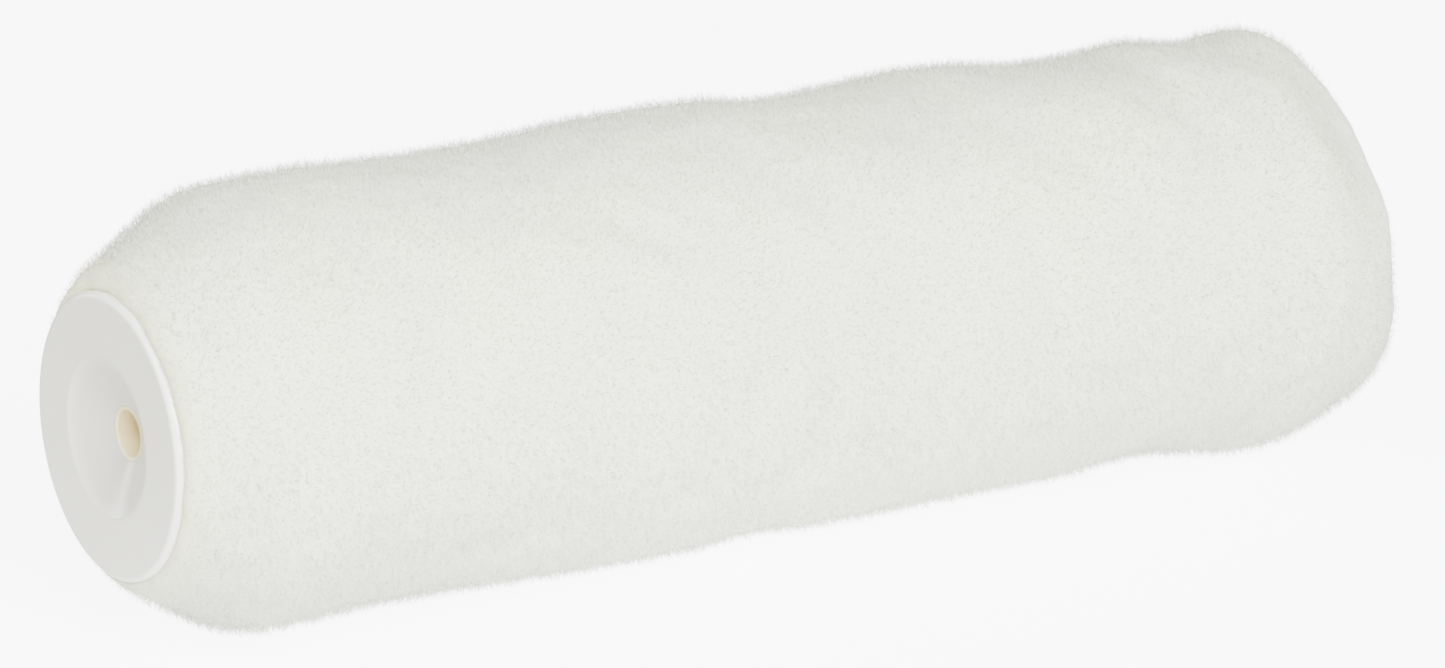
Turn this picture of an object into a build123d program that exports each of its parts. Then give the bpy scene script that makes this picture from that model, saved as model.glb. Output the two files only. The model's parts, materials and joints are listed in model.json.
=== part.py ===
"""Paint roller refill: a fleece sleeve on a plastic core, with two end caps and an axle sleeve.

The roller turns about the Y axis. The front cap is at -Y and the rear cap at +Y, +Z is up, and
the origin is on the axis, halfway along the roller. All sizes are in millimetres.

The fleece, its backing, the core and the two caps turn together. The two bushes and the tube
between them make the axle sleeve, which stays still on the frame's rod.
"""

import os

from build123d import *

os.makedirs("parts", exist_ok=True)

# ---- Driving sizes ----

# Sleeve, from the inside out
core_length = 250.0
core_outer_diameter = 47.0
core_wall = 2.0
core_end_chamfer = 0.6
adhesive_thickness = 0.3
backing_thickness = 0.9
pile_height = 14.8

# Rounded ends of the pile
pile_end_height = 6.4
pile_shoulder_length = 17.0
pile_end_round = 3.0
pile_shoulder_round = 12.0

# End cap: flange and dish
flange_overhang = 0.3
flange_thickness = 2.0
flange_front_round = 1.3
flange_back_round = 0.2
dish_diameter = 28.0
dish_depth = 4.2
dish_edge_round = 1.5
dish_wall = 1.4

# End cap: plug that enters the core
plug_length = 14.0
plug_wall = 1.6
plug_clearance = 0.3
plug_lead_in = 0.8
crush_rib_count = 12
crush_rib_radius = 0.6

# End cap: hub and webs
hub_length = 14.0
hub_wall = 1.8
hub_lead_in = 0.4
web_count = 6
web_thickness = 1.4
web_length = 9.0

# Bush
bore_diameter = 8.2
bush_wall = 1.9
bush_body_length = 16.0
nose_wall = 0.65
bush_mouth_round = 0.4
spigot_wall = 0.9
spigot_length = 8.0
bush_end_chamfer = 0.3

# Guide tube
guide_wall = 1.0

# Fits
running_clearance = 0.05
end_play = 0.1
joining_depth = 0.3

# ---- Sizes worked out from them ----

core_radius = core_outer_diameter / 2
core_bore_radius = core_radius - core_wall
adhesive_radius = core_radius + adhesive_thickness
backing_radius = adhesive_radius + backing_thickness
pile_radius = backing_radius + pile_height
pile_end_radius = backing_radius + pile_end_height

cap_face = core_length / 2 + flange_thickness
flange_radius = backing_radius + flange_overhang
dish_radius = dish_diameter / 2
bore_radius = bore_diameter / 2
nose_radius = bore_radius + nose_wall
cap_hole_radius = nose_radius + running_clearance
dish_slope = dish_depth / (dish_radius - cap_hole_radius)

plug_radius = core_bore_radius - plug_clearance
plug_bore_radius = plug_radius - plug_wall
plug_end = flange_thickness + plug_length

bush_radius = bore_radius + bush_wall
hub_bore_radius = bush_radius + running_clearance
hub_radius = hub_bore_radius + hub_wall
hub_seat = dish_depth + dish_wall
hub_end = hub_seat + hub_length
hub_root = flange_thickness + dish_slope * (dish_radius - hub_radius)
web_end = flange_thickness + web_length

shoulder_depth = hub_seat + end_play
body_end = shoulder_depth + bush_body_length
spigot_radius = bore_radius + spigot_wall
spigot_end = body_end + spigot_length
guide_length = 2 * (cap_face - body_end)

# Profiles of the front cap and bush are drawn here: local X is the radius, and local Y is the
# depth behind the cap's outer face.
front_plane = Plane(origin=(0, -cap_face, 0), x_dir=(1, 0, 0), z_dir=(0, 0, 1))

# Rings are drawn here and pushed inwards: the plane's normal points into the roller.
inward_plane = Plane(origin=(0, -cap_face, 0), x_dir=(1, 0, 0), z_dir=(0, 1, 0))


# ---- Core tube ----

with BuildPart() as core_tube:
    with BuildSketch(Plane.XZ):
        Circle(core_radius)
        Circle(core_bore_radius, mode=Mode.SUBTRACT)
    extrude(amount=core_length / 2, both=True)
    bore_edges = core_tube.edges().filter_by(GeomType.CIRCLE).sort_by(SortBy.RADIUS)[:2]
    chamfer(bore_edges, core_end_chamfer)

core_tube.part.label = "core_tube"
export_step(core_tube.part, "parts/core_tube.step")


# ---- Adhesive film ----

with BuildPart() as adhesive_film:
    with BuildSketch(Plane.XZ):
        Circle(adhesive_radius)
        Circle(core_radius, mode=Mode.SUBTRACT)
    extrude(amount=core_length / 2, both=True)

adhesive_film.part.label = "adhesive_film"
export_step(adhesive_film.part, "parts/adhesive_film.step")


# ---- Backing fabric ----

with BuildPart() as backing_fabric:
    with BuildSketch(Plane.XZ):
        Circle(backing_radius)
        Circle(adhesive_radius, mode=Mode.SUBTRACT)
    extrude(amount=core_length / 2, both=True)

backing_fabric.part.label = "backing_fabric"
export_step(backing_fabric.part, "parts/backing_fabric.step")


# ---- Pile ----
# The envelope of the fibres: a thick tube whose ends taper and round over towards the caps.

with BuildPart() as pile:
    with BuildSketch(Plane.XY) as pile_profile:
        with BuildLine():
            Polyline(
                (backing_radius, -core_length / 2),
                (pile_end_radius, -core_length / 2),
                (pile_radius, pile_shoulder_length - core_length / 2),
                (pile_radius, core_length / 2 - pile_shoulder_length),
                (pile_end_radius, core_length / 2),
                (backing_radius, core_length / 2),
                close=True,
            )
        make_face()
        shoulder_corners = pile_profile.vertices().group_by(Axis.X)[-1]
        fillet(shoulder_corners, pile_shoulder_round)
        end_corners = pile_profile.vertices().group_by(Axis.X)[1]
        fillet(end_corners, pile_end_round)
    revolve(axis=Axis.Y)

pile.part.label = "pile"
export_step(pile.part, "parts/pile.step")


# ---- End caps ----
# One moulding, used at both ends: a flange with a conical dish, a ribbed plug that is pressed into
# the core, and a webbed hub in which the bush turns.

with BuildPart() as front_cap:
    with BuildSketch(front_plane) as cap_profile:
        with BuildLine():
            Polyline(
                (cap_hole_radius, dish_depth),
                (dish_radius, 0),
                (flange_radius, 0),
                (flange_radius, flange_thickness),
                (plug_radius, flange_thickness),
                (plug_radius, plug_end - plug_lead_in),
                (plug_radius - plug_lead_in / 2, plug_end),
                (plug_bore_radius, plug_end),
                (plug_bore_radius, flange_thickness),
                (dish_radius, flange_thickness),
                (hub_radius, hub_root),
                (hub_radius, hub_end),
                (hub_bore_radius + hub_lead_in, hub_end),
                (hub_bore_radius, hub_end - hub_lead_in),
                (hub_bore_radius, hub_seat),
                (cap_hole_radius, hub_seat),
                close=True,
            )
        make_face()
        rim = cap_profile.vertices().group_by(Axis.X)[-1].sort_by(Axis.Y)
        fillet(rim[0], flange_front_round)
        fillet(rim[1], flange_back_round)
        dish_edge = cap_profile.vertices().sort_by_distance((dish_radius, 0))[0]
        fillet(dish_edge, dish_edge_round)
    revolve(axis=Axis.Y)
    with BuildSketch(inward_plane.offset(flange_thickness / 2)):
        with PolarLocations(core_bore_radius - crush_rib_radius, crush_rib_count):
            Circle(crush_rib_radius)
    extrude(amount=plug_end - plug_lead_in - flange_thickness / 2)
    for index in range(web_count):
        with BuildSketch(front_plane.rotated((0, index * 360 / web_count, 0))):
            with BuildLine():
                Polyline(
                    (hub_radius - joining_depth, hub_root - joining_depth),
                    (dish_radius, flange_thickness - joining_depth),
                    (plug_bore_radius + joining_depth, flange_thickness - joining_depth),
                    (plug_bore_radius + joining_depth, web_end),
                    (hub_radius - joining_depth, web_end),
                    close=True,
                )
            make_face()
        extrude(amount=web_thickness / 2, both=True)

front_cap.part.label = "front_cap"
export_step(front_cap.part, "parts/front_cap.step")

with BuildPart() as rear_cap:
    mirror(front_cap.part, about=Plane.XZ)

rear_cap.part.label = "rear_cap"
export_step(rear_cap.part, "parts/rear_cap.step")


# ---- Bushes ----
# One moulding, used at both ends: the nose shows in the cap's hole, the body turns in the hub, and
# the spigot carries the guide tube.

with BuildPart() as front_bush:
    with BuildSketch(front_plane) as bush_profile:
        with BuildLine():
            Polyline(
                (bore_radius, dish_depth),
                (nose_radius, dish_depth),
                (nose_radius, shoulder_depth),
                (bush_radius, shoulder_depth),
                (bush_radius, body_end),
                (spigot_radius, body_end),
                (spigot_radius, spigot_end - bush_end_chamfer),
                (spigot_radius - bush_end_chamfer, spigot_end),
                (bore_radius + bush_end_chamfer, spigot_end),
                (bore_radius, spigot_end - bush_end_chamfer),
                close=True,
            )
        make_face()
        mouth = bush_profile.vertices().sort_by_distance((bore_radius, dish_depth))[0]
        fillet(mouth, bush_mouth_round)
    revolve(axis=Axis.Y)

front_bush.part.label = "front_bush"
export_step(front_bush.part, "parts/front_bush.step")

with BuildPart() as rear_bush:
    mirror(front_bush.part, about=Plane.XZ)

rear_bush.part.label = "rear_bush"
export_step(rear_bush.part, "parts/rear_bush.step")


# ---- Guide tube ----
# It slides on to both spigots and rests against both bush bodies, so it holds them apart.

with BuildPart() as guide_tube:
    with BuildSketch(Plane.XZ):
        Circle(spigot_radius + guide_wall)
        Circle(spigot_radius, mode=Mode.SUBTRACT)
    extrude(amount=guide_length / 2, both=True)

guide_tube.part.label = "guide_tube"
export_step(guide_tube.part, "parts/guide_tube.step")


print(f"Roller: {2 * cap_face:.1f} long over the caps, {2 * pile_radius:.1f} across the pile")
print(f"Rod bore: {bore_diameter:.1f} across, {2 * (cap_face - dish_depth):.1f} from nose to nose")
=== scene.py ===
# %% [markdown]
# # A paint roller refill
#
# This lesson builds the looks of a paint roller refill around its engineering model. The refill
# is a plastic tube wound with thick fleece, closed by two moulded caps, with a cream bush in the
# hole of each cap. The engineering model already holds every piece at its true size, so the first
# step loads it as a fixed frame. The caps, bushes and tubes could be modelled afresh, but theirs
# are already right, so they stay and get better finishes. Fleece is what a plain solid can't
# show, so the fleece is made here, and it takes its place from the frame.

# %% Load the frame
import json
import math

import bpy
import numpy as np
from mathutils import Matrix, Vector

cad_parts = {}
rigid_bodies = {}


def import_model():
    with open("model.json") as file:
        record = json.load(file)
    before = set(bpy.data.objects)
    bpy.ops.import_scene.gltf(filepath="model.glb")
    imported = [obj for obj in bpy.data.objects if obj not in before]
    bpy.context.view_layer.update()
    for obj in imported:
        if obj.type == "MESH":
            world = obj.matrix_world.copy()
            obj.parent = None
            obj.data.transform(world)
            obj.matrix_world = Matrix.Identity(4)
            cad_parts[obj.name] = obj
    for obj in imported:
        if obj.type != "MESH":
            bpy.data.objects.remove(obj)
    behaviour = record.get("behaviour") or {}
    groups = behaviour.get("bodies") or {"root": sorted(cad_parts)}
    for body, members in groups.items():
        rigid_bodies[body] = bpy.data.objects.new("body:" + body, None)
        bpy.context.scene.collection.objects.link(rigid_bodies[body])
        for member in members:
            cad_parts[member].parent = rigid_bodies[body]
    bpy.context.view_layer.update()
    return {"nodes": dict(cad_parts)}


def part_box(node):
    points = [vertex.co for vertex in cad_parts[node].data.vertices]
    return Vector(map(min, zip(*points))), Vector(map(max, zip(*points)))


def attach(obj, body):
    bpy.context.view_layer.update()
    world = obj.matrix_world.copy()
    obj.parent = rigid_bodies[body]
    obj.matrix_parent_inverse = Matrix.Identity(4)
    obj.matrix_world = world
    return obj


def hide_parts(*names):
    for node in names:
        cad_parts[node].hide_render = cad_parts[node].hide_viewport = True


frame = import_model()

MM = 0.001
pile_low, pile_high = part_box("pile")
cap_low, cap_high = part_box("front_cap")
cap_face = -cap_low.y
pile_radius = pile_high.x
pile_half_length = pile_high.y
flange_radius = cap_high.x
backing_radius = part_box("backing_fabric")[1].x
bpy.ops.object.select_all(action="DESELECT")
print(f"Roller {2 * cap_face / MM:.1f} mm long and {2 * pile_radius / MM:.1f} mm across")

# %% [markdown]
# ## Camera
#
# The camera looks along the roller from its front cap, a little from above. It could stand near
# with a short lens, but then the front end would look much larger than the rear. It stands well
# back with a long lens instead, which keeps the two ends almost the same size, as in a catalogue
# picture. A small shift moves the frame without turning the camera.

# %% Place the camera
camera_azimuth = math.radians(56.7)
camera_elevation = math.radians(16.27)
camera_distance = 1.2126
towards_camera = Vector((
    math.sin(camera_azimuth) * math.cos(camera_elevation),
    -math.cos(camera_azimuth) * math.cos(camera_elevation),
    math.sin(camera_elevation),
))

camera = bpy.data.objects.new("camera", bpy.data.cameras.new("camera"))
bpy.context.scene.collection.objects.link(camera)
camera.location = towards_camera * camera_distance
camera.rotation_euler = (-towards_camera).to_track_quat("-Z", "Y").to_euler()
camera.data.sensor_width = 36.0
camera.data.lens = 169.5
camera.data.shift_x = -0.0096
camera.data.shift_y = -0.0084
camera.data.dof.use_dof = False
bpy.context.scene.camera = camera
print("Camera at", [round(c, 3) for c in camera.location])

# %% [markdown]
# ## Floor
#
# The refill lies on plain white studio paper, so bright that it has no edge and hardly a shadow.
# A white floor under strong lamps could do that, but it would also throw so much light upwards
# that the roller's underside would glow. So the paper is a mid grey that also gives light of its
# own, in two strengths. The camera sees it white all over. The roller is lit only by a weaker
# patch around it, which fades out, so its underside stays a little darker than its top.


# %% Node and material helpers
def add_node(tree, kind, **settings):
    node = tree.nodes.new(kind)
    for key, value in settings.items():
        setattr(node, key, value)
    return node


def new_finish(name):
    """A new material, with its node tree and its shader."""
    finish = bpy.data.materials.new(name)
    finish.use_nodes = True
    return finish, finish.node_tree, finish.node_tree.nodes["Principled BSDF"]


# %% Floor
floor_gap = 0.8 * MM
floor_level = pile_low.z - floor_gap
bpy.ops.mesh.primitive_plane_add(size=12.0, location=(0, 0, floor_level))
floor = bpy.context.object
floor.name = "floor"
floor_finish, floor_tree, floor_shader = new_finish("floor_paper")
floor_shader.inputs["Base Color"].default_value = (0.55, 0.55, 0.55, 1)
floor_shader.inputs["Roughness"].default_value = 0.9
floor_shader.inputs["Emission Color"].default_value = (0.955, 0.955, 1.0, 1)
floor.data.materials.append(floor_finish)
print(f"Floor {-floor_level / MM:.1f} mm under the roller's axis")

# %% Floor glow
white_strength = 8.0
patch_strength = 4.2
patch_width, patch_length = 0.26, 0.36

floor_place = add_node(floor_tree, "ShaderNodeTexCoord")
patch_shape = add_node(floor_tree, "ShaderNodeVectorMath", operation="MULTIPLY")
patch_shape.inputs[1].default_value = (1 / patch_width, 1 / patch_length, 0)
patch_fade = add_node(floor_tree, "ShaderNodeTexGradient", gradient_type="QUADRATIC_SPHERE")
patch_range = add_node(floor_tree, "ShaderNodeMapRange")
patch_range.inputs["To Max"].default_value = patch_strength
seen_by = add_node(floor_tree, "ShaderNodeLightPath")
strength = add_node(floor_tree, "ShaderNodeMix")
strength.inputs["B"].default_value = white_strength
floor_tree.links.new(floor_place.outputs["Object"], patch_shape.inputs[0])
floor_tree.links.new(patch_shape.outputs["Vector"], patch_fade.inputs["Vector"])
floor_tree.links.new(patch_fade.outputs["Fac"], patch_range.inputs["Value"])
floor_tree.links.new(patch_range.outputs["Result"], strength.inputs["A"])
floor_tree.links.new(seen_by.outputs["Is Camera Ray"], strength.inputs["Factor"])
floor_tree.links.new(strength.outputs["Result"], floor_shader.inputs["Emission Strength"])
print(f"Floor glows {white_strength} to the camera, at most {patch_strength} to the roller")

# %% [markdown]
# ## Light
#
# White fleece needs soft light from wide lamps, or its fibres turn into hard black and white
# specks. A single lamp could light it, but would leave one end dull. So the large key lamp stands
# to the right of the camera and higher, where it lights the whole side that is seen. A wide weak
# lamp lifts the far end, a small one in front lights the cap, a low one on the left touches the
# fleece's edge, and a pale sky fills the rest.


# %% Lamps
def add_lamp(name, place, size, power, colour=(1, 1, 1)):
    """A square lamp of a size in metres and a power in watts, turned to the roller."""
    lamp = bpy.data.objects.new(name, bpy.data.lights.new(name, "AREA"))
    lamp.data.size = size
    lamp.data.energy = power
    lamp.data.color = colour
    lamp.location = place
    lamp.rotation_euler = (-Vector(place)).to_track_quat("-Z", "Y").to_euler()
    bpy.context.scene.collection.objects.link(lamp)
    return lamp


add_lamp("key_lamp", (1.5, -0.45, 0.78), 0.9, 142, (0.995, 1.0, 0.96))
add_lamp("side_lamp", (1.3, 0.9, 0.5), 1.2, 9)
add_lamp("front_lamp", (0.05, -1.35, 1.05), 0.5, 20)
add_lamp("edge_lamp", (-1.5, -0.75, 0.2), 0.4, 5)

# %% Sky
world = bpy.data.worlds.new("studio")
world.use_nodes = True
sky = world.node_tree.nodes["Background"]
sky.inputs["Color"].default_value = (1.0, 1.0, 0.95, 1)
sky.inputs["Strength"].default_value = 0.5
bpy.context.scene.world = world
print("Sky strength", sky.inputs["Strength"].default_value)

# %% [markdown]
# ## Shared effects
#
# Three effects are used by several finishes. Each could be repeated in every material, but then
# a change would have to be made in all of them, so each is built once as a node group. Fine grain
# gives a slightly uneven height, as a moulding tool leaves on plastic. Soft mottle drifts between
# two colours over a set distance, because no real surface has one even tone. The ring mask fades
# between two radii about the roller's axis, for whatever changes from the middle to the rim.


# %% Group helper
def new_effect(name, inputs, outputs):
    tree = bpy.data.node_groups.new(name, "ShaderNodeTree")
    for label, kind, value in inputs:
        socket = tree.interface.new_socket(label, in_out="INPUT", socket_type=kind)
        socket.default_value = value
    for label, kind in outputs:
        tree.interface.new_socket(label, in_out="OUTPUT", socket_type=kind)
    return tree, tree.nodes.new("NodeGroupInput"), tree.nodes.new("NodeGroupOutput")


# %% Fine grain
grain, grain_in, grain_out = new_effect(
    "fine_grain",
    [("Scale", "NodeSocketFloat", 2000.0), ("Depth", "NodeSocketFloat", 1.0)],
    [("Height", "NodeSocketFloat")],
)
grain_place = add_node(grain, "ShaderNodeTexCoord")
grain_noise = add_node(grain, "ShaderNodeTexNoise")
grain_noise.inputs["Detail"].default_value = 3.0
grain_depth = add_node(grain, "ShaderNodeMath", operation="MULTIPLY")
grain.links.new(grain_place.outputs["Object"], grain_noise.inputs["Vector"])
grain.links.new(grain_in.outputs["Scale"], grain_noise.inputs["Scale"])
grain.links.new(grain_noise.outputs["Fac"], grain_depth.inputs[0])
grain.links.new(grain_in.outputs["Depth"], grain_depth.inputs[1])
grain.links.new(grain_depth.outputs[0], grain_out.inputs["Height"])
print("Effect:", grain.name)

# %% Soft mottle
mottle, mottle_in, mottle_out = new_effect(
    "soft_mottle",
    [
        ("Light", "NodeSocketColor", (0.9, 0.9, 0.9, 1)),
        ("Dark", "NodeSocketColor", (0.8, 0.8, 0.8, 1)),
        ("Scale", "NodeSocketFloat", 40.0),
    ],
    [("Color", "NodeSocketColor"), ("Mask", "NodeSocketFloat")],
)
mottle_place = add_node(mottle, "ShaderNodeTexCoord")
mottle_noise = add_node(mottle, "ShaderNodeTexNoise")
mottle_noise.inputs["Detail"].default_value = 4.0
mottle_range = add_node(mottle, "ShaderNodeMapRange")
mottle_range.inputs["From Min"].default_value = 0.35
mottle_range.inputs["From Max"].default_value = 0.65
mottle_mix = add_node(mottle, "ShaderNodeMix", data_type="RGBA")
mottle.links.new(mottle_place.outputs["Object"], mottle_noise.inputs["Vector"])
mottle.links.new(mottle_in.outputs["Scale"], mottle_noise.inputs["Scale"])
mottle.links.new(mottle_noise.outputs["Fac"], mottle_range.inputs["Value"])
mottle.links.new(mottle_range.outputs["Result"], mottle_mix.inputs["Factor"])
mottle.links.new(mottle_in.outputs["Light"], mottle_mix.inputs["A"])
mottle.links.new(mottle_in.outputs["Dark"], mottle_mix.inputs["B"])
mottle.links.new(mottle_mix.outputs["Result"], mottle_out.inputs["Color"])
mottle.links.new(mottle_range.outputs["Result"], mottle_out.inputs["Mask"])
print("Effect:", mottle.name)

# %% Ring mask
ring, ring_in, ring_out = new_effect(
    "ring_mask",
    [("Clear Radius", "NodeSocketFloat", 0.0), ("Full Radius", "NodeSocketFloat", 1.0)],
    [("Mask", "NodeSocketFloat")],
)
ring_place = add_node(ring, "ShaderNodeTexCoord")
ring_flat = add_node(ring, "ShaderNodeVectorMath", operation="MULTIPLY")
ring_flat.inputs[1].default_value = (1, 0, 1)
ring_radius = add_node(ring, "ShaderNodeVectorMath", operation="LENGTH")
ring_range = add_node(ring, "ShaderNodeMapRange", interpolation_type="SMOOTHSTEP")
ring.links.new(ring_place.outputs["Object"], ring_flat.inputs[0])
ring.links.new(ring_flat.outputs["Vector"], ring_radius.inputs[0])
ring.links.new(ring_radius.outputs["Value"], ring_range.inputs["Value"])
ring.links.new(ring_in.outputs["Clear Radius"], ring_range.inputs["From Min"])
ring.links.new(ring_in.outputs["Full Radius"], ring_range.inputs["From Max"])
ring.links.new(ring_range.outputs["Result"], ring_out.inputs["Mask"])
print("Effect:", ring.name)

# %% [markdown]
# ## Plastic and glue finishes
#
# The caps and bushes are moulded plastic, the core and guide tube are drawn plastic, and the glue
# is a thin film of hot melt. Each could have its own tree of nodes, but they differ only in
# colour, gloss and grain, so one function makes them all. A little light enters the moulded
# pieces, which softens their shading, and the caps have a clear polish over their grain.


# %% Plastic maker
def plastic(name, light, dark, roughness, grain_scale, grain_depth_mm, mottle_scale, see_in=0.0,
            polish=0.0):
    finish, tree, shader = new_finish(name)
    tone = add_node(tree, "ShaderNodeGroup", node_tree=mottle)
    tone.inputs["Light"].default_value = (*light, 1)
    tone.inputs["Dark"].default_value = (*dark, 1)
    tone.inputs["Scale"].default_value = mottle_scale
    height = add_node(tree, "ShaderNodeGroup", node_tree=grain)
    height.inputs["Scale"].default_value = grain_scale
    bump = add_node(tree, "ShaderNodeBump")
    bump.inputs["Distance"].default_value = grain_depth_mm * MM
    gloss = add_node(tree, "ShaderNodeMapRange")
    gloss.inputs["To Min"].default_value = roughness - 0.04
    gloss.inputs["To Max"].default_value = roughness + 0.06
    tree.links.new(tone.outputs["Color"], shader.inputs["Base Color"])
    tree.links.new(tone.outputs["Mask"], gloss.inputs["Value"])
    tree.links.new(gloss.outputs["Result"], shader.inputs["Roughness"])
    tree.links.new(height.outputs["Height"], bump.inputs["Height"])
    tree.links.new(bump.outputs["Normal"], shader.inputs["Normal"])
    shader.inputs["IOR"].default_value = 1.49
    shader.inputs["Coat Weight"].default_value = polish
    shader.inputs["Coat Roughness"].default_value = 0.22
    shader.inputs["Subsurface Weight"].default_value = see_in
    shader.inputs["Subsurface Radius"].default_value = (1.0, 0.9, 0.8)
    shader.inputs["Subsurface Scale"].default_value = 1.5 * MM
    print("Finish:", name)
    return finish


# %% Make the finishes
cap_plastic = plastic(
    "cap_moulding", light=(0.745, 0.735, 0.66), dark=(0.71, 0.70, 0.625), roughness=0.33,
    grain_scale=2600, grain_depth_mm=0.02, mottle_scale=60, see_in=0.2, polish=0.6,
)
bush_plastic = plastic(
    "bush_moulding", light=(0.90, 0.79, 0.44), dark=(0.86, 0.74, 0.39), roughness=0.3,
    grain_scale=1800, grain_depth_mm=0.01, mottle_scale=90, see_in=0.2,
)
guide_plastic = plastic(
    "guide_tubing", light=(0.80, 0.75, 0.58), dark=(0.76, 0.71, 0.54), roughness=0.42,
    grain_scale=1500, grain_depth_mm=0.01, mottle_scale=50,
)
core_plastic = plastic(
    "core_tubing", light=(0.60, 0.61, 0.60), dark=(0.54, 0.55, 0.55), roughness=0.5,
    grain_scale=900, grain_depth_mm=0.03, mottle_scale=30,
)
hot_melt = plastic(
    "glue_film", light=(0.80, 0.74, 0.58), dark=(0.72, 0.64, 0.46), roughness=0.4,
    grain_scale=300, grain_depth_mm=0.05, mottle_scale=25,
)

# %% [markdown]
# ## Painted highlight and shade on the caps
#
# A cap's rounded rim gets a painted highlight, a ring blended to near white, and its dish gets
# painted shade, a little deeper in tone than the flat flange around it. Separate pieces could
# carry those tones, but the real cap is one moulding, so its finish changes with the distance
# from the middle instead.


# %% Add the rings
def times(tree, value, amount):
    """A value multiplied by a number or by another value."""
    node = add_node(tree, "ShaderNodeMath", operation="MULTIPLY")
    tree.links.new(value, node.inputs[0])
    if isinstance(amount, float):
        node.inputs[1].default_value = amount
    else:
        tree.links.new(amount, node.inputs[1])
    return node.outputs[0]


def blend_to(tree, colour, target, share):
    """A colour, blended to a target colour by a share that changes over the surface."""
    node = add_node(tree, "ShaderNodeMix", data_type="RGBA")
    node.inputs["B"].default_value = target
    tree.links.new(share, node.inputs["Factor"])
    tree.links.new(colour, node.inputs["A"])
    return node.outputs["Result"]


def add_ring(finish, clear_mm, full_mm, colour, strength):
    """Blend the finish to a colour between two radii about the roller's axis."""
    tree = finish.node_tree
    colour_socket = tree.nodes["Principled BSDF"].inputs["Base Color"]
    before = colour_socket.links[0].from_socket
    mask = add_node(tree, "ShaderNodeGroup", node_tree=ring)
    mask.inputs["Clear Radius"].default_value = clear_mm * MM
    mask.inputs["Full Radius"].default_value = full_mm * MM
    share = times(tree, mask.outputs["Mask"], strength)
    tree.links.new(blend_to(tree, before, (*colour, 1), share), colour_socket)


rim_mm = flange_radius / MM
# Painted highlight: the rounded rim is blended to near white.
add_ring(cap_plastic, rim_mm - 1.2, rim_mm - 0.5, (0.95, 0.95, 0.94), 0.75)
# Painted shade: the dish is blended darker towards its middle.
add_ring(cap_plastic, 15.5, 11.0, (0.48, 0.47, 0.42), 0.62)
print("Rings added to", cap_plastic.name)

# %% [markdown]
# ## Finishes for the carried-over pieces
#
# The hard pieces came in with the frame, each with one plain colour. Those colours could stay on
# the hidden pieces, but a part that is taken to pieces shows them all, so each one is dressed.
# The backing is the knitted ground that the fleece stands in, so its grain is coarse and matt.


# %% Dress the pieces
def dress(node, finish):
    slots = frame["nodes"][node].data.materials
    slots.clear()
    slots.append(finish)
    print(node, "has", finish.name)


knit = plastic(
    "knitted_ground", light=(0.78, 0.77, 0.72), dark=(0.70, 0.69, 0.63), roughness=0.85,
    grain_scale=1200, grain_depth_mm=0.2, mottle_scale=200,
)
dress("front_cap", cap_plastic)
dress("rear_cap", cap_plastic)
dress("front_bush", bush_plastic)
dress("rear_bush", bush_plastic)
dress("guide_tube", guide_plastic)
dress("core_tube", core_plastic)
dress("adhesive_film", hot_melt)
dress("backing_fabric", knit)

# %% [markdown]
# ## Fleece ground
#
# The pile of a real refill is about fifteen millimetres of standing fibres. Fibres could be grown
# from the backing outwards, but only the outer few millimetres show. So the inside is one closed
# body, shaped like the packed fibres, and fibres are grown on it. The body starts as a circle of
# vertices at the front cap, extruded ring by ring along the outline of the pile: out over the
# rounded end, along the sleeve and back in.

# %% Outline of the packed fibres
# Each point is a radius, and how far behind the face of the cap it lies, in millimetres.
ring_count = 200
ring_spacing = 1.2
end_outline = [
    (backing_radius / MM + 0.05, 2.1),
    (flange_radius / MM + 0.02, 2.0),
    (flange_radius / MM + 0.03, 1.0),
    (25.6, 0.75),
    (26.6, 0.85),
    (27.8, 1.35),
    (29.1, 2.4),
    (30.5, 4.4),
    (31.9, 6.9),
    (33.4, 9.7),
    (34.9, 12.7),
    (36.3, 15.9),
    (37.2, 19.1),
    (37.65, 22.6),
]


def evenly_spaced(points, spacing):
    steps = [math.dist(a, b) for a, b in zip(points, points[1:])]
    along = np.concatenate([[0], np.cumsum(steps)])
    count = max(2, round(along[-1] / spacing))
    wanted = np.linspace(0, along[-1], count + 1)
    radius = np.interp(wanted, along, [p[0] for p in points])
    place = np.interp(wanted, along, [p[1] for p in points])
    return list(zip(radius, place))


end_place = cap_face / MM
outline = [(r, d - end_place) for r, d in end_outline]
outline += [(r, end_place - d) for r, d in reversed(end_outline)]
outline = evenly_spaced(outline, ring_spacing)
print(f"Fleece outline of {len(outline)} rings, {ring_count} points round each")


# %% Walk a ring along an outline
def walk_ring(name, points, count):
    """A shell about the Y axis, open where its outline starts and ends."""
    (first_radius, first_place), *rest = points
    bpy.ops.mesh.primitive_circle_add(
        vertices=count, radius=first_radius * MM, fill_type="NOTHING",
        location=(0, first_place * MM, 0), rotation=(math.pi / 2, 0, 0),
    )
    shell = bpy.context.object
    shell.name = name
    bpy.ops.object.transform_apply(location=True, rotation=True, scale=True)
    bpy.ops.object.mode_set(mode="EDIT")
    bpy.ops.mesh.select_all(action="SELECT")
    radius, place = first_radius, first_place
    for next_radius, next_place in rest:
        bpy.ops.mesh.extrude_edges_move(
            TRANSFORM_OT_translate={"value": (0, (next_place - place) * MM, 0)}
        )
        grow = next_radius / radius
        bpy.ops.transform.resize(value=(grow, 1, grow), center_override=(0, next_place * MM, 0))
        radius, place = next_radius, next_place
    bpy.ops.object.mode_set(mode="OBJECT")
    return shell


fleece_body = walk_ring("fleece_body", outline, ring_count)
print("Fleece body:", len(fleece_body.data.polygons), "faces, still open inside")

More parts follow.
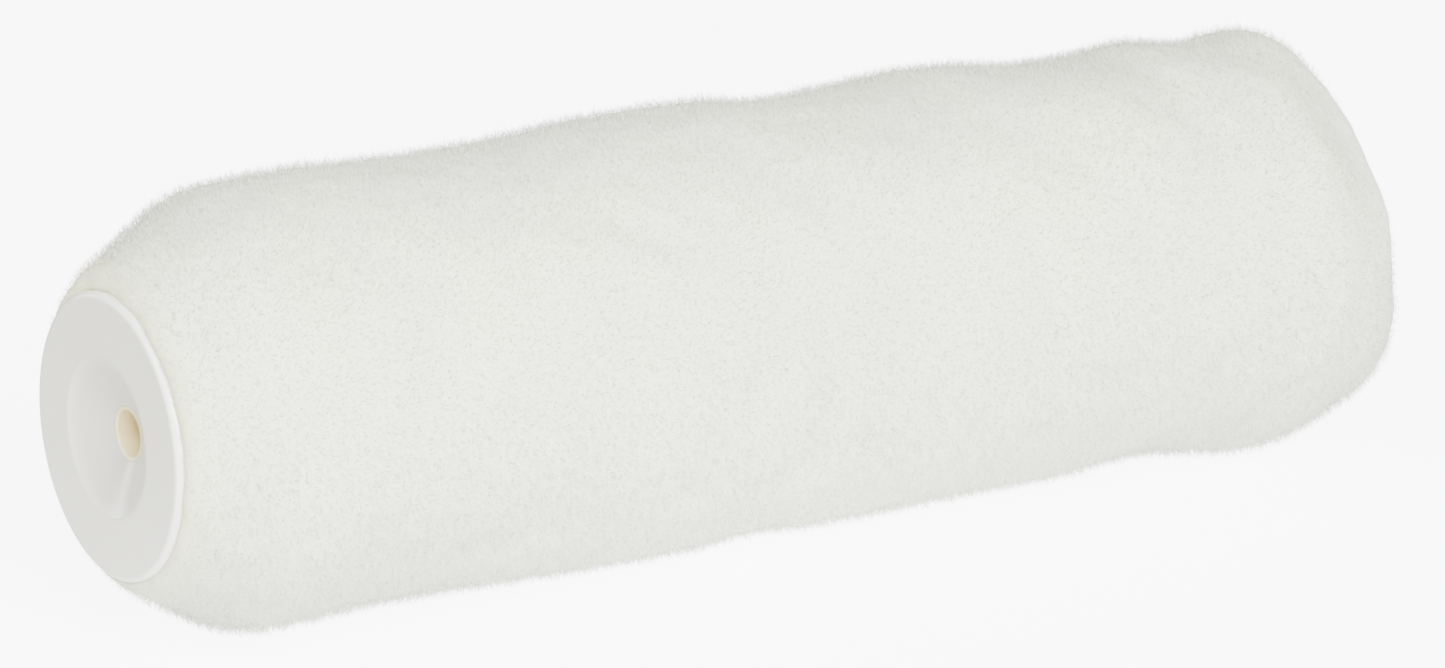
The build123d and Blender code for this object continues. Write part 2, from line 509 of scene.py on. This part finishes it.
# %% Close the shell
mesh = fleece_body.data
last_ring = len(mesh.vertices) - ring_count
for vertex in mesh.vertices:
    vertex.select = vertex.index < ring_count or vertex.index >= last_ring
for edge in mesh.edges:
    starts = all(index < ring_count for index in edge.vertices)
    ends = all(index >= last_ring for index in edge.vertices)
    edge.select = starts or ends
bpy.ops.object.mode_set(mode="EDIT")
bpy.ops.mesh.select_mode(type="EDGE")
bpy.ops.mesh.bridge_edge_loops()
bpy.ops.mesh.select_all(action="SELECT")
bpy.ops.mesh.normals_make_consistent(inside=False)
bpy.ops.object.mode_set(mode="OBJECT")
print("Fleece body:", len(fleece_body.data.polygons), "faces, closed")


# %% Put the faces in a fixed order
# Bridging numbers faces differently from one run to the next, and fibres are later drawn by
# chance face by face. So each face starts at its lowest-numbered point, and faces are sorted.
def in_order(mesh):
    faces = []
    for face in mesh.polygons:
        corners = list(face.vertices)
        lowest = corners.index(min(corners))
        faces.append(corners[lowest:] + corners[:lowest])
    ordered = bpy.data.meshes.new("fleece_body")
    ordered.from_pydata([vertex.co[:] for vertex in mesh.vertices], [], sorted(faces))
    ordered.shade_smooth()
    return ordered


fleece_body.data = in_order(fleece_body.data)
bpy.data.meshes.remove(mesh)
print("First face:", list(fleece_body.data.polygons[0].vertices))

# %% [markdown]
# ## Lumps and hollows
#
# Fleece that has been packed and handled is never a true cylinder. It swells in some places and
# is pressed in at others. Noise alone could roughen it, but the large lumps of a real one are few
# and lie where it was held. So each one is a soft round push, in or out, at a chosen place along
# the sleeve and a chosen angle round it, as a sculptor's brush would make. The folds are narrow,
# slanting pushes. The pinch is where the fleece is pressed towards its backing at the far end.

# %% Places of the lumps
# Place along the roller (mm), angle round it (degrees, 0 at +X and 90 on top), reach along (mm),
# reach round (mm), height (mm), slant (degrees).
lumps = [
    (-92, 109, 30, 26, 1.7, 0),
    (-22, 112, 24, 26, 2.0, 0),
    (0, 107, 140, 16, 0.45, 0),
    (20, 108, 9, 16, -0.2, 0),
    (42, 108, 14, 20, 1.3, 0),
    (68, 106, 10, 18, -1.1, 0),
    (105, 106, 7, 24, -2.1, 0),
    (-4, 110, 9, 20, 0.9, 0),
    (-84, -70, 34, 24, -1.8, 0),
    (-5, -72, 9, 16, -1.1, 0),
    (80, -70, 8, 14, -1.3, 0),
    (106, -68, 15, 26, 2.2, 0),
    (122, -72, 9, 22, 2.0, 0),
    (-112, 114, 8, 30, -1.7, 0),
    (-125, -38, 4, 18, -0.9, 0),
    (-122, 188, 9, 46, -4.4, 0),
    (-119, 145, 8, 18, -0.7, 0),
    (-120, 230, 9, 24, -5.0, 0),
    (119, 100, 8, 18, 3.5, 0),
    (124, -42, 9, 18, 3.0, 0),
    (121, -8, 9, 24, 1.0, 0),
    (-40, 20, 30, 26, 0.7, 0),
    (96, 10, 20, 24, 0.8, 0),
    (-70, -20, 24, 20, -0.5, 0),
    (-60, 200, 26, 24, 1.2, 0),
    (0, 215, 20, 22, -1.3, 0),
    (55, 190, 22, 26, 1.4, 0),
    (98, 230, 16, 22, -1.0, 0),
    (-100, 235, 18, 22, 0.9, 0),
    (118, 170, 12, 24, 1.0, 0),
]
folds = [
    (84, 76, 26, 6, -1.5, 86),
    (46, 60, 22, 7, -0.8, 62),
    (-4, 62, 20, 7, -0.7, 58),
    (62, 40, 20, 6, -0.5, 60),
    (-5, -9, 4, 16, -0.9, 0),
    (43, 12, 3.5, 15, -0.8, -12),
    (-38, 48, 16, 4, -0.6, 28),
    (62, -18, 22, 5, -0.7, 8),
    (-60, -34, 24, 5, -0.6, -6),
    (-20, 170, 4, 16, -1.0, 10),
    (70, 240, 18, 4, -1.1, -30),
    (-85, 150, 16, 4, -0.9, 34),
]
# Place along (mm), angle (degrees), reach along and round (mm), share of the pile pressed away.
pinches = [
    (126, 44, 11, 20, 0.56),
]
print(f"{len(lumps)} lumps, {len(folds)} folds and {len(pinches)} pinch")


# %% Push and pinch
held_height = 4 * MM


def arc_from(places, angle):
    """How far round the roller each point lies from an angle, in metres."""
    around = np.degrees(np.arctan2(places[:, 2], places[:, 0]))
    return np.radians((around - angle + 180) % 360 - 180) * pile_radius


def push(places):
    """How far each point moves along its normal, in metres, fading out near the backing."""
    moved = np.zeros(len(places))
    for along, angle, reach_along, reach_round, height, slant in lumps + folds:
        run = places[:, 1] - along * MM
        arc = arc_from(places, angle)
        c, s = math.cos(math.radians(slant)), math.sin(math.radians(slant))
        near = ((c * run - s * arc) / (reach_along * MM)) ** 2
        near += ((s * run + c * arc) / (reach_round * MM)) ** 2
        moved += height * MM * np.exp(-near)
    inner = np.hypot(places[:, 0], places[:, 2])
    return moved * np.clip((inner - backing_radius) / held_height, 0, 1)


def pinch(places):
    """What is left of each point's height over the backing, from 0 to 1."""
    left = np.ones(len(places))
    for along, angle, reach_along, reach_round, share in pinches:
        near = ((places[:, 1] - along * MM) / (reach_along * MM)) ** 2
        near += (arc_from(places, angle) / (reach_round * MM)) ** 2
        left *= 1 - share * np.exp(-near)
    return left


# %% Shape the fleece body
rest_height = 1.5 * MM
rest_give = 0.15


def read_points(mesh):
    places = np.zeros(len(mesh.vertices) * 3, np.float32)
    normals = np.zeros(len(mesh.vertices) * 3, np.float32)
    mesh.vertices.foreach_get("co", places)
    mesh.vertices.foreach_get("normal", normals)
    return places.reshape(-1, 3).astype(float), normals.reshape(-1, 3).astype(float)


places, normals = read_points(fleece_body.data)
places += normals * push(places)[:, None]
radius = np.hypot(places[:, 0], places[:, 2])
above_rim = np.maximum(radius - flange_radius, 0)
kept = pinch(places)
scale = (radius - above_rim * (1 - kept)) / radius
places[:, 0] *= scale
places[:, 2] *= scale

# The fleece flattens where it rests on the floor.
resting = places[:, 2] < pile_low.z + rest_height
sunk = places[resting, 2] - pile_low.z - rest_height
places[resting, 2] = pile_low.z + rest_height + rest_give * sunk
fleece_body.data.vertices.foreach_set("co", places.astype(np.float32).ravel())
widest = 2 * np.hypot(places[:, 0], places[:, 2]).max()
print(f"Fleece body now {widest / MM:.1f} mm across at most")

# %% Note how long the fibres are, place by place
# The fibres are shorter where the pile is pinched and where it meets a cap's rim.
pinched_length = 0.35
rim_length = 0.5
rim_reach = 5 * MM
off_rim = np.clip((np.hypot(places[:, 0], places[:, 2]) - flange_radius) / rim_reach, 0, 1)
fibre_reach = pinched_length + (1 - pinched_length) * kept
fibre_reach *= rim_length + (1 - rim_length) * off_rim
reach = fleece_body.data.attributes.new("fibre_reach", "FLOAT", "POINT")
reach.data.foreach_set("value", fibre_reach.astype(np.float32))
fleece_body.data.update()
print(f"Fibres from {fibre_reach.min():.2f} to {fibre_reach.max():.2f} of their length")

# %% [markdown]
# ## Small unevenness
#
# Between the lumps, fleece is slightly uneven as its tufts part and close. Each tuft could be
# pushed by hand, but they are small and many, so two displacement modifiers do it: a wide swell,
# and a narrow one of the size of a tuft. Both are applied, so the shape is real geometry.

# %% Displace the body
for label, size_mm, depth_mm in (("wide_swell", 13, 1.0), ("tufts", 4.5, 0.5)):
    cloud = bpy.data.textures.new(label, "CLOUDS")
    cloud.noise_scale = size_mm * MM
    cloud.noise_depth = 1
    swell = fleece_body.modifiers.new(label, "DISPLACE")
    swell.texture = cloud
    swell.texture_coords = "LOCAL"
    swell.strength = depth_mm * MM
    swell.mid_level = 0.5
    bpy.context.view_layer.objects.active = fleece_body
    bpy.ops.object.modifier_apply(modifier=label)
    print(f"{label}: {size_mm} mm wide, {depth_mm} mm deep")

# %% [markdown]
# ## One fibre, modelled once
#
# A fleece fibre is far thinner than a hair and bends a little. A curve with a round section could
# show one, but its faces would be too many to repeat. So it is modelled once, one unit long, from
# a three-sided cone: the middle of the cone's foot is pulled down to a sharp root, and its tip is
# pushed over, which leaves a bent spindle of six triangles. A value stored along it, nought at
# the root and one at the tip, lets the finish pale towards the tip.


# %% Model the fibre
def move_point(shape, at_tip, shift):
    """Move the point on the axis at the tip or at the root of a fibre."""
    for vertex in shape.data.vertices:
        on_axis = math.hypot(vertex.co.x, vertex.co.y) < 1e-4
        vertex.select = on_axis and (vertex.co.z > 0.9) == at_tip
    bpy.ops.object.mode_set(mode="EDIT")
    bpy.ops.mesh.select_mode(type="VERT")
    bpy.ops.transform.translate(value=shift)
    bpy.ops.object.mode_set(mode="OBJECT")


def model_fibre(name, width, knee, tip_lean):
    bpy.ops.mesh.primitive_cone_add(
        vertices=3, radius1=width / 2, radius2=0, depth=1 - knee, end_fill_type="TRIFAN",
        location=(0, 0, (1 + knee) / 2),
    )
    shape = bpy.context.object
    shape.name = name
    bpy.ops.object.transform_apply(location=True, rotation=True, scale=True)
    move_point(shape, False, (0, 0, -knee - 0.08))
    move_point(shape, True, (tip_lean, 0.3 * tip_lean, 0))
    height = shape.data.attributes.new("root_to_tip", "FLOAT", "POINT")
    for vertex in shape.data.vertices:
        height.data[vertex.index].value = min(1.0, max(0.0, vertex.co.z))
    bpy.ops.object.shade_smooth()
    return shape


fibre = model_fibre("fibre", width=0.034, knee=0.42, tip_lean=0.34)
print("Fibre:", len(fibre.data.polygons), "triangles,", len(fibre.data.vertices), "points")

# %% [markdown]
# ## Fleece fibres
#
# The refill's surface is all fibre ends, leaning this way and that. Hair particles could make
# them, but hair is a curve with no skin, and the finished pieces have to be plain meshes. So a
# geometry node tree scatters the fibre over one band of the fleece body. Each fibre stands out
# from the roller, and two noise fields lean it over: a wide one, as the fleece is brushed this
# way and that, and a narrow one that gathers it into tufts. A little chance on top keeps
# neighbours apart. The result is a plain mesh once the modifier is applied.

# %% Inputs of the scatter tree
scatter = bpy.data.node_groups.new("fibre_scatter", "GeometryNodeTree")
scatter.interface.new_socket("Geometry", in_out="INPUT", socket_type="NodeSocketGeometry")
for label, kind in (
    ("Fibre", "NodeSocketObject"), ("Start", "NodeSocketFloat"), ("End", "NodeSocketFloat"),
    ("Inner Radius", "NodeSocketFloat"), ("Density", "NodeSocketFloat"),
    ("Shortest", "NodeSocketFloat"), ("Longest", "NodeSocketFloat"),
    ("Brush", "NodeSocketFloat"), ("Tuft", "NodeSocketFloat"),
    ("Stray", "NodeSocketFloat"), ("Seed", "NodeSocketInt"),
):
    scatter.interface.new_socket(label, in_out="INPUT", socket_type=kind)
scatter.interface.new_socket("Geometry", in_out="OUTPUT", socket_type="NodeSocketGeometry")
socket_names = {item.name: item.identifier for item in scatter.interface.items_tree}
scatter_in = add_node(scatter, "NodeGroupInput")
scatter_out = add_node(scatter, "NodeGroupOutput")
join = scatter.links.new
print("Scatter inputs:", list(socket_names))

# %% Where fibres stand
surface = add_node(scatter, "GeometryNodeInputPosition")
surface_xyz = add_node(scatter, "ShaderNodeSeparateXYZ")
surface_flat = add_node(scatter, "ShaderNodeVectorMath", operation="MULTIPLY")
surface_flat.inputs[1].default_value = (1, 0, 1)
surface_radius = add_node(scatter, "ShaderNodeVectorMath", operation="LENGTH")
join(surface.outputs["Position"], surface_xyz.inputs["Vector"])
join(surface.outputs["Position"], surface_flat.inputs[0])
join(surface_flat.outputs["Vector"], surface_radius.inputs[0])


def compare(operation, value, limit):
    node = add_node(scatter, "FunctionNodeCompare", data_type="FLOAT", operation=operation)
    join(value, node.inputs["A"])
    join(scatter_in.outputs[limit], node.inputs["B"])
    return node.outputs["Result"]


def both(first, second):
    node = add_node(scatter, "FunctionNodeBooleanMath", operation="AND")
    join(first, node.inputs[0])
    join(second, node.inputs[1])
    return node.outputs["Boolean"]


in_band = both(
    compare("GREATER_EQUAL", surface_xyz.outputs["Y"], "Start"),
    compare("LESS_THAN", surface_xyz.outputs["Y"], "End"),
)
in_band = both(in_band, compare("GREATER_THAN", surface_radius.outputs["Value"], "Inner Radius"))
points = add_node(scatter, "GeometryNodeDistributePointsOnFaces", distribute_method="RANDOM")
join(scatter_in.outputs["Geometry"], points.inputs["Mesh"])
join(in_band, points.inputs["Selection"])
join(scatter_in.outputs["Density"], points.inputs["Density"])
join(scatter_in.outputs["Seed"], points.inputs["Seed"])
print("Fibres stand from Start to End, outside the Inner Radius")


# %% How fibres lean
brush_scale, tuft_scale = 70, 800


def scale_vector(vector, amount):
    node = add_node(scatter, "ShaderNodeVectorMath", operation="SCALE")
    join(vector, node.inputs[0])
    if isinstance(amount, float):
        node.inputs["Scale"].default_value = amount
    else:
        join(amount, node.inputs["Scale"])
    return node.outputs["Vector"]


def lean(noise_scale, amount):
    noise = add_node(scatter, "ShaderNodeTexNoise")
    noise.inputs["Scale"].default_value = noise_scale
    noise.inputs["Detail"].default_value = 1.0
    centred = add_node(scatter, "ShaderNodeVectorMath", operation="SUBTRACT")
    centred.inputs[1].default_value = (0.5, 0.5, 0.5)
    join(surface.outputs["Position"], noise.inputs["Vector"])
    join(noise.outputs["Color"], centred.inputs[0])
    return scale_vector(centred.outputs["Vector"], scatter_in.outputs[amount])


outward = add_node(scatter, "ShaderNodeVectorMath", operation="NORMALIZE")
join(surface_flat.outputs["Vector"], outward.inputs[0])
chance = add_node(scatter, "FunctionNodeRandomValue", data_type="FLOAT_VECTOR")
chance.inputs["Min"].default_value = (-1, -1, -1)
chance.inputs["Max"].default_value = (1, 1, 1)
join(scatter_in.outputs["Seed"], chance.inputs["Seed"])
direction = outward.outputs["Vector"]
for part in (
    scale_vector(points.outputs["Normal"], 0.5),
    lean(brush_scale, "Brush"),
    lean(tuft_scale, "Tuft"),
    scale_vector(chance.outputs["Value"], scatter_in.outputs["Stray"]),
):
    added = add_node(scatter, "ShaderNodeVectorMath", operation="ADD")
    join(direction, added.inputs[0])
    join(part, added.inputs[1])
    direction = added.outputs["Vector"]
print("Fibres lean by brush, tuft and stray")

# %% How fibres are turned
stand = add_node(scatter, "FunctionNodeAlignRotationToVector", axis="Z")
spin_angle = add_node(scatter, "FunctionNodeRandomValue", data_type="FLOAT")
spin_angle.inputs["Max"].default_value = 2 * math.pi
spin = add_node(scatter, "FunctionNodeAxisAngleToRotation")
spin.inputs["Axis"].default_value = (0, 0, 1)
turn = add_node(scatter, "FunctionNodeRotateRotation", rotation_space="LOCAL")
join(direction, stand.inputs["Vector"])
join(spin_angle.outputs["Value"], spin.inputs["Angle"])
join(stand.outputs["Rotation"], turn.inputs["Rotation"])
join(spin.outputs["Rotation"], turn.inputs["Rotate By"])
print("Each fibre is spun about its own length by chance")

# %% How long fibres are
length = add_node(scatter, "FunctionNodeRandomValue", data_type="FLOAT")
local_reach = add_node(scatter, "GeometryNodeInputNamedAttribute", data_type="FLOAT")
local_reach.inputs["Name"].default_value = "fibre_reach"
join(scatter_in.outputs["Shortest"], length.inputs["Min"])
join(scatter_in.outputs["Longest"], length.inputs["Max"])
full_length = times(scatter, length.outputs["Value"], local_reach.outputs["Attribute"])
print("Each fibre's length is drawn by chance, then cut to the local reach")

# %% Copy the fibre to its places
model = add_node(scatter, "GeometryNodeObjectInfo")
copies = add_node(scatter, "GeometryNodeInstanceOnPoints")
shade = add_node(scatter, "FunctionNodeRandomValue", data_type="FLOAT")
toned = add_node(
    scatter, "GeometryNodeStoreNamedAttribute", data_type="FLOAT", domain="INSTANCE"
)
toned.inputs["Name"].default_value = "fibre_tone"
real = add_node(scatter, "GeometryNodeRealizeInstances")
join(scatter_in.outputs["Fibre"], model.inputs["Object"])
join(points.outputs["Points"], copies.inputs["Points"])
join(model.outputs["Geometry"], copies.inputs["Instance"])
join(turn.outputs["Rotation"], copies.inputs["Rotation"])
join(full_length, copies.inputs["Scale"])
join(copies.outputs["Instances"], toned.inputs["Geometry"])
join(shade.outputs["Value"], toned.inputs["Value"])
join(toned.outputs["Geometry"], real.inputs["Geometry"])
join(real.outputs["Geometry"], scatter_out.inputs["Geometry"])
print("Scatter tree of", len(scatter.nodes), "nodes")

# %% [markdown]
# ## Fleece finish
#
# The real fleece is off-white, but never one even white. It drifts between a cool and a warm
# white, it has dark flecks of painted shade where strands part, standing in for the shadows
# between fibres, its tips are paler than its roots, and by the front cap the glue and backing
# lend it a warm tint. Pictures of fleece could be laid on it, but they would repeat and show
# seams, so all of it is worked out from the place on the roller and from the values stored on
# each fibre. The body under the fibres gets the same finish without tips.

# %% Fleece colours
fleece_light = (0.79, 0.825, 0.72, 1)
fleece_warm = (0.82, 0.83, 0.68, 1)
fleece_dark = (0.73, 0.775, 0.685, 1)
# The darkest colour serves both for painted shade, flecks that stand in for shadows between
# strands, and for the few dull strands.
fleece_shade_and_dull = (0.54, 0.57, 0.46, 1)
fleece_root = (0.83, 0.835, 0.56, 1)
fleece_tip = (0.84, 0.87, 0.79, 1)
print("Fleece colours from", fleece_shade_and_dull[:3], "to", fleece_tip[:3])


# %% Drift and painted shade flecks
def white_with_shadow_flecks(tree):
    wide = add_node(tree, "ShaderNodeGroup", node_tree=mottle)
    wide.inputs["Light"].default_value = fleece_light
    wide.inputs["Dark"].default_value = fleece_warm
    wide.inputs["Scale"].default_value = 14.0
    narrow = add_node(tree, "ShaderNodeGroup", node_tree=mottle)
    narrow.inputs["Dark"].default_value = fleece_dark
    narrow.inputs["Scale"].default_value = 45.0
    # Painted shade: fine dark flecks stand in for the shadows between fibres.
    shadow_fleck = add_node(tree, "ShaderNodeGroup", node_tree=mottle)
    shadow_fleck.inputs["Scale"].default_value = 1900.0
    tree.links.new(wide.outputs["Color"], narrow.inputs["Light"])
    shadow_fleck_share = times(tree, shadow_fleck.outputs["Mask"], 0.6)
    return blend_to(tree, narrow.outputs["Color"], fleece_shade_and_dull, shadow_fleck_share)


# %% Pale tips and dull strands
def strand_tones(tree, colour):
    """Strands pale towards their tips by chance, and a few are duller than their neighbours."""
    height = add_node(tree, "ShaderNodeAttribute", attribute_name="root_to_tip")
    tone = add_node(tree, "ShaderNodeAttribute", attribute_name="fibre_tone")
    pale_share = times(tree, height.outputs["Fac"], tone.outputs["Fac"])
    colour = blend_to(tree, colour, fleece_tip, pale_share)
    dull = add_node(tree, "ShaderNodeMath", operation="SUBTRACT")
    dull.inputs[0].default_value = 1.0
    few = add_node(tree, "ShaderNodeMath", operation="POWER")
    few.inputs[1].default_value = 2.0
    tree.links.new(tone.outputs["Fac"], dull.inputs[1])
    tree.links.new(dull.outputs[0], few.inputs[0])
    return blend_to(tree, colour, fleece_shade_and_dull, times(tree, few.outputs[0], 0.5))


# %% Warm roots by the front cap
root_depth = 7 * MM
tint_starts, tint_full, least_tint = -28 * MM, -4 * MM, 0.3


def warm_roots(tree, colour):
    near_root = add_node(tree, "ShaderNodeGroup", node_tree=ring)
    near_root.inputs["Clear Radius"].default_value = backing_radius + root_depth
    near_root.inputs["Full Radius"].default_value = backing_radius
    place = add_node(tree, "ShaderNodeTexCoord")
    place_xyz = add_node(tree, "ShaderNodeSeparateXYZ")
    near_front = add_node(tree, "ShaderNodeMapRange", interpolation_type="SMOOTHSTEP")
    near_front.inputs["From Min"].default_value = 0.0
    near_front.inputs["From Max"].default_value = -pile_half_length
    upper = add_node(tree, "ShaderNodeMapRange", interpolation_type="SMOOTHSTEP")
    upper.inputs["From Min"].default_value = tint_starts
    upper.inputs["From Max"].default_value = tint_full
    upper.inputs["To Min"].default_value = least_tint
    tree.links.new(place.outputs["Object"], place_xyz.inputs["Vector"])
    tree.links.new(place_xyz.outputs["Y"], near_front.inputs["Value"])
    tree.links.new(place_xyz.outputs["Z"], upper.inputs["Value"])
    by_the_cap = times(tree, near_front.outputs["Result"], upper.outputs["Result"])
    return blend_to(tree, colour, fleece_root, times(tree, near_root.outputs["Mask"], by_the_cap))


# %% Make the fleece finishes
def fleece_finish(name, tipped):
    finish, tree, shader = new_finish(name)
    colour = white_with_shadow_flecks(tree)
    if tipped:
        colour = strand_tones(tree, colour)
    tree.links.new(warm_roots(tree, colour), shader.inputs["Base Color"])
    shader.inputs["Roughness"].default_value = 0.85
    shader.inputs["Specular IOR Level"].default_value = 0.2
    print("Finish:", name)
    return finish


fibre_finish = fleece_finish("fleece_fibres", True)
fleece_body.data.materials.append(fleece_finish("fleece_ground", False))

# %% [markdown]
# ## Bands of fibres
#
# All the fibres could be one piece, but it would have far too many triangles to be handled well.
# So the fleece is cut across its length into bands of the same area, and each band's fibres are
# a piece of their own. The bands meet without a seam, because a fibre belongs to a band by where
# it stands, and the next fibre over the edge is simply in the next piece.

# %% Split the fleece into bands of equal area
band_count = 11
fibres_per_band = 23300
band_margin = 10 * MM
inner_radius = backing_radius + 0.3 * MM

mesh = fleece_body.data
centres = np.zeros(len(mesh.polygons) * 3, np.float32)
areas = np.zeros(len(mesh.polygons), np.float32)
mesh.polygons.foreach_get("center", centres)
mesh.polygons.foreach_get("area", areas)
centres = centres.reshape(-1, 3)
outer = np.hypot(centres[:, 0], centres[:, 2]) > inner_radius
order = np.argsort(centres[outer, 1], kind="stable")
area_so_far = np.cumsum(areas[outer][order])
band_area = area_so_far[-1] / band_count
band_edges = np.interp(
    [band_area * n for n in range(band_count + 1)], area_so_far, centres[outer, 1][order]
)
band_edges[0] -= band_margin
band_edges[-1] += band_margin
fibres_per_square_metre = fibres_per_band / band_area
print(f"{band_count} bands of {band_area * 1e6:.0f} square mm, "
      f"{fibres_per_square_metre / 1e6:.1f} fibres on each square mm")

# %% Grow the fibres, band by band
band_settings = {
    "Fibre": fibre, "Inner Radius": inner_radius,
    "Density": fibres_per_square_metre, "Shortest": 1.5 * MM, "Longest": 3.6 * MM,
    "Brush": 1.0, "Tuft": 1.0, "Stray": 0.95,
}
bands = []
for index in range(band_count):
    band = fleece_body.copy()
    band.data = fleece_body.data.copy()
    band.name = f"fleece_{index + 1}"
    band.data.name = band.name
    bpy.context.scene.collection.objects.link(band)
    grow = band.modifiers.new("fibres", "NODES")
    grow.node_group = scatter
    for label, value in band_settings.items():
        grow[socket_names[label]] = value
    grow[socket_names["Start"]] = float(band_edges[index])
    grow[socket_names["End"]] = float(band_edges[index + 1])
    grow[socket_names["Seed"]] = 101 * index + 7
    bpy.context.view_layer.objects.active = band
    bpy.ops.object.modifier_apply(modifier="fibres")
    band.data.materials.clear()
    band.data.materials.append(fibre_finish)
    bands.append(band)
    print(band.name, len(band.data.polygons), "faces")

bpy.data.objects.remove(fibre)

# %% [markdown]
# ## Tie the fleece to the roller
#
# On the real refill the fleece is glued to the core, so it turns with it and not with the bushes.
# The pieces could be parented to a cap, but the frame has a body for all that turns, so they ride
# on that. The fleece body stands for the plain pile of the engineering model, which is hidden.

# %% Ride on the roller
for piece in [fleece_body, *bands]:
    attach(piece, "roller")
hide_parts("pile")
print(1 + len(bands), "pieces of fleece ride on the roller")
